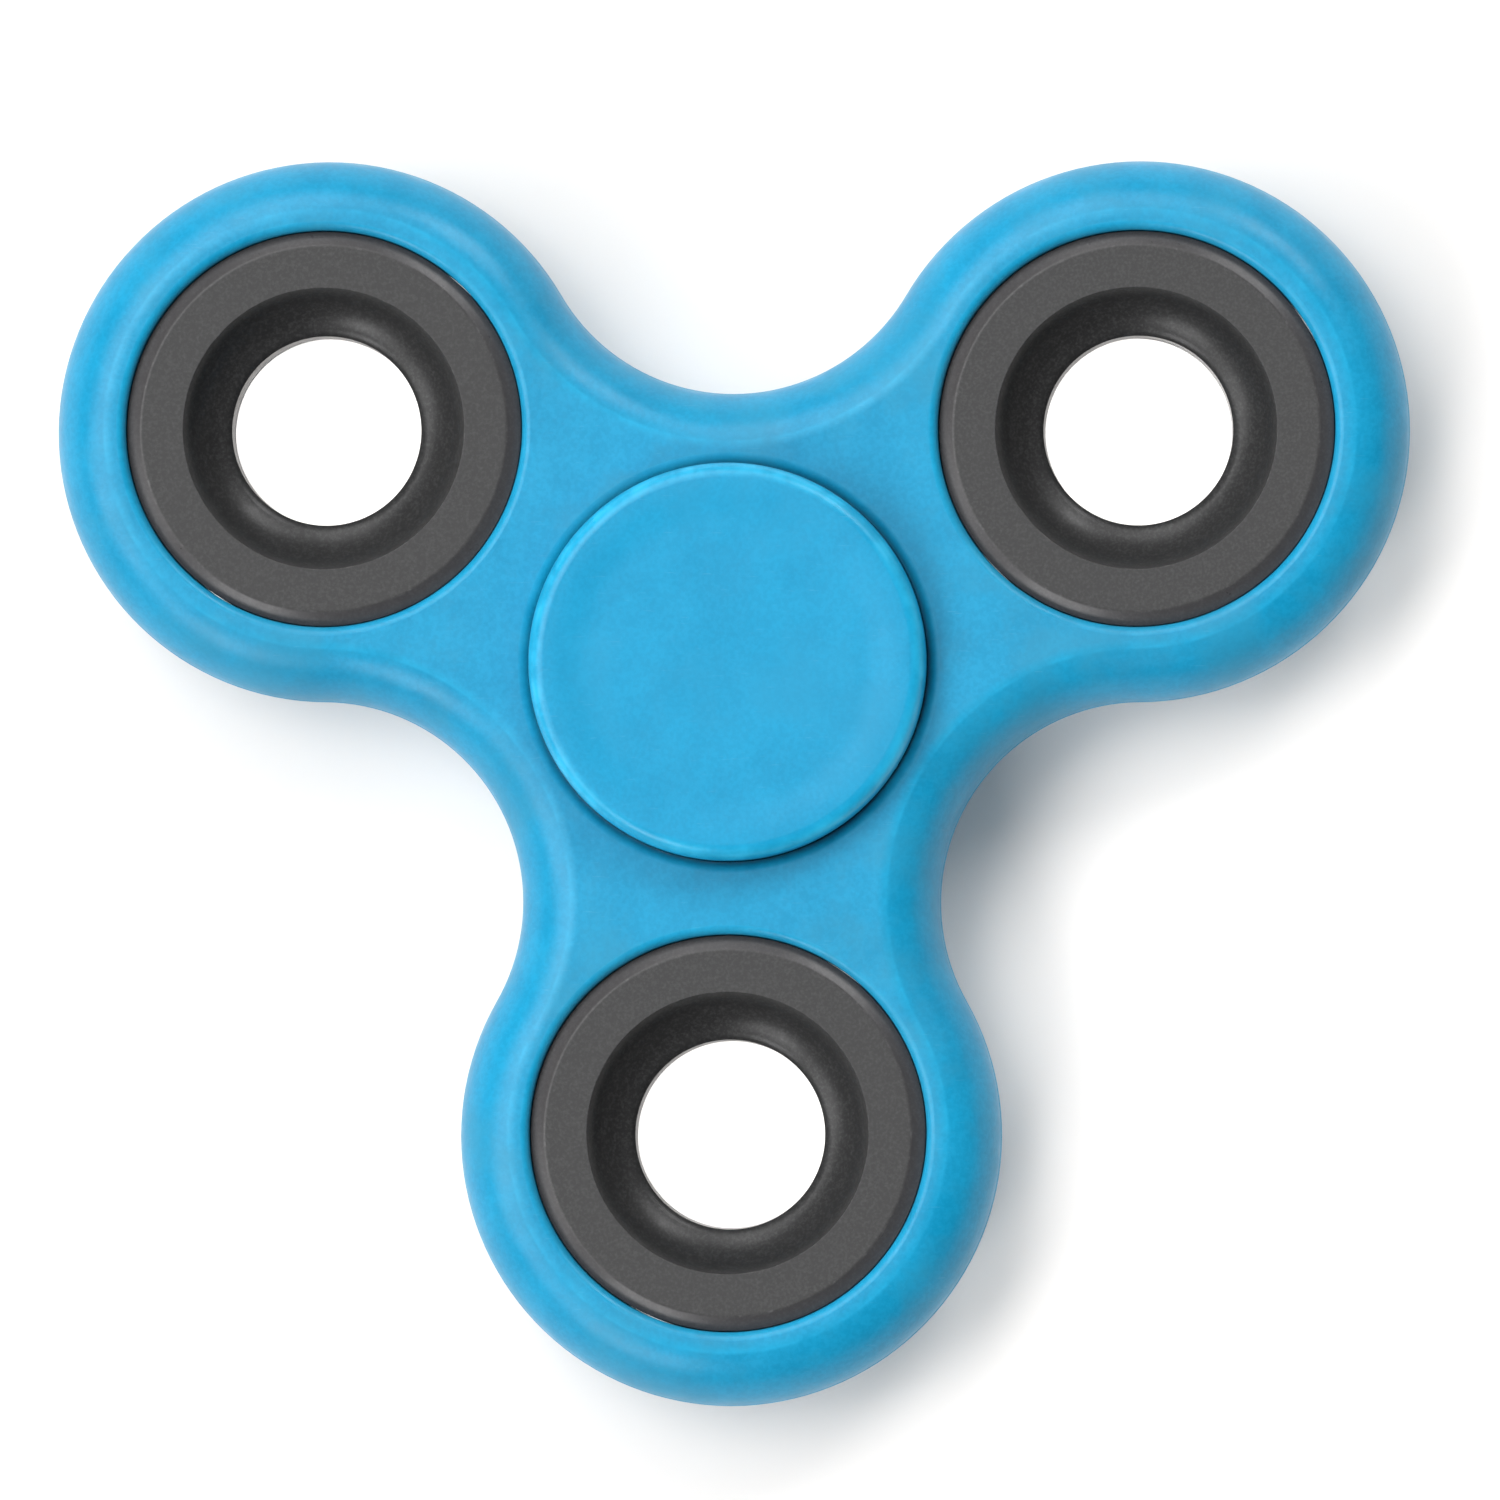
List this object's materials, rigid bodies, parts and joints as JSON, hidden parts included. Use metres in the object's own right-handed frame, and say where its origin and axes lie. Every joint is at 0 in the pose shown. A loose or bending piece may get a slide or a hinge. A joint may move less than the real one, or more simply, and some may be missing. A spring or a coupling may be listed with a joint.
{
  "type": "fidget spinner",
  "caption": "Lobed hand spinner with a ring weight in each lobe, turning on a central ball bearing between finger caps.",
  "frame": {"origin": "on the spin axis, at the centre of the bottom cap, in the plane of the rim that it rests on", "axes": "+Z along the spin axis towards the top cap; one lobe points along -Y and the other lobes lie on either side of +Y"},
  "size_m": [0.075, 0.069, 0.0124],
  "materials": {
    "body_plastic": "satin",
    "cap_plastic": "satin",
    "weight_paint": "satin",
    "race_steel": "polished",
    "ball_steel": "polished",
    "sheet_steel": "satin"
  },
  "bodies": {
    "hub": {"top_cap": "cap_plastic", "bottom_cap": "cap_plastic", "bearing_inner_race": "race_steel"},
    "rotor": {"spinner_body": "body_plastic", "counterweight_1": "weight_paint", "counterweight_2": "weight_paint", "counterweight_3": "weight_paint", "bearing_outer_race": "race_steel", "bearing_top_shield": "sheet_steel", "bearing_bottom_shield": "sheet_steel", "top_shield_clip": "sheet_steel", "bottom_shield_clip": "sheet_steel"},
    "ball_cage": {"cage_upper_half": "sheet_steel", "cage_lower_half": "sheet_steel", "cage_rivet_1": "sheet_steel", "cage_rivet_2": "sheet_steel", "cage_rivet_3": "sheet_steel", "cage_rivet_4": "sheet_steel", "cage_rivet_5": "sheet_steel", "cage_rivet_6": "sheet_steel", "cage_rivet_7": "sheet_steel"},
    "ball_1": {"bearing_ball_1": "ball_steel"},
    "ball_2": {"bearing_ball_2": "ball_steel"},
    "ball_3": {"bearing_ball_3": "ball_steel"},
    "ball_4": {"bearing_ball_4": "ball_steel"},
    "ball_5": {"bearing_ball_5": "ball_steel"},
    "ball_6": {"bearing_ball_6": "ball_steel"},
    "ball_7": {"bearing_ball_7": "ball_steel"}
  },
  "joints": [
    {"name": "spin", "type": "hinge", "parent": "hub", "child": "rotor", "pos_m": [0, 0, 0.0062], "axis": [0, 0, 1], "continuous": true},
    {"name": "cage_orbit", "type": "hinge", "parent": "hub", "child": "ball_cage", "pos_m": [0, 0, 0.0062], "axis": [0, 0, 1], "continuous": true},
    {"name": "ball_1_roll", "type": "hinge", "parent": "ball_cage", "child": "ball_1", "pos_m": [0.0075, 0, 0.0062], "axis": [0, 0, 1], "continuous": true},
    {"name": "ball_2_roll", "type": "hinge", "parent": "ball_cage", "child": "ball_2", "pos_m": [0.00468, 0.00586, 0.0062], "axis": [0, 0, 1], "continuous": true},
    {"name": "ball_3_roll", "type": "hinge", "parent": "ball_cage", "child": "ball_3", "pos_m": [-0.00167, 0.00731, 0.0062], "axis": [0, 0, 1], "continuous": true},
    {"name": "ball_4_roll", "type": "hinge", "parent": "ball_cage", "child": "ball_4", "pos_m": [-0.00676, 0.00325, 0.0062], "axis": [0, 0, 1], "continuous": true},
    {"name": "ball_5_roll", "type": "hinge", "parent": "ball_cage", "child": "ball_5", "pos_m": [-0.00676, -0.00325, 0.0062], "axis": [0, 0, 1], "continuous": true},
    {"name": "ball_6_roll", "type": "hinge", "parent": "ball_cage", "child": "ball_6", "pos_m": [-0.00167, -0.00731, 0.0062], "axis": [0, 0, 1], "continuous": true},
    {"name": "ball_7_roll", "type": "hinge", "parent": "ball_cage", "child": "ball_7", "pos_m": [0.00468, -0.00586, 0.0062], "axis": [0, 0, 1], "continuous": true}
  ],
  "couplings": [
    {"joint": "cage_orbit", "follows": "spin", "ratio": 0.6323},
    {"joint": "ball_1_roll", "follows": "spin", "ratio": 1.7573},
    {"joint": "ball_2_roll", "follows": "spin", "ratio": 1.7573},
    {"joint": "ball_3_roll", "follows": "spin", "ratio": 1.7573},
    {"joint": "ball_4_roll", "follows": "spin", "ratio": 1.7573},
    {"joint": "ball_5_roll", "follows": "spin", "ratio": 1.7573},
    {"joint": "ball_6_roll", "follows": "spin", "ratio": 1.7573},
    {"joint": "ball_7_roll", "follows": "spin", "ratio": 1.7573}
  ]
}
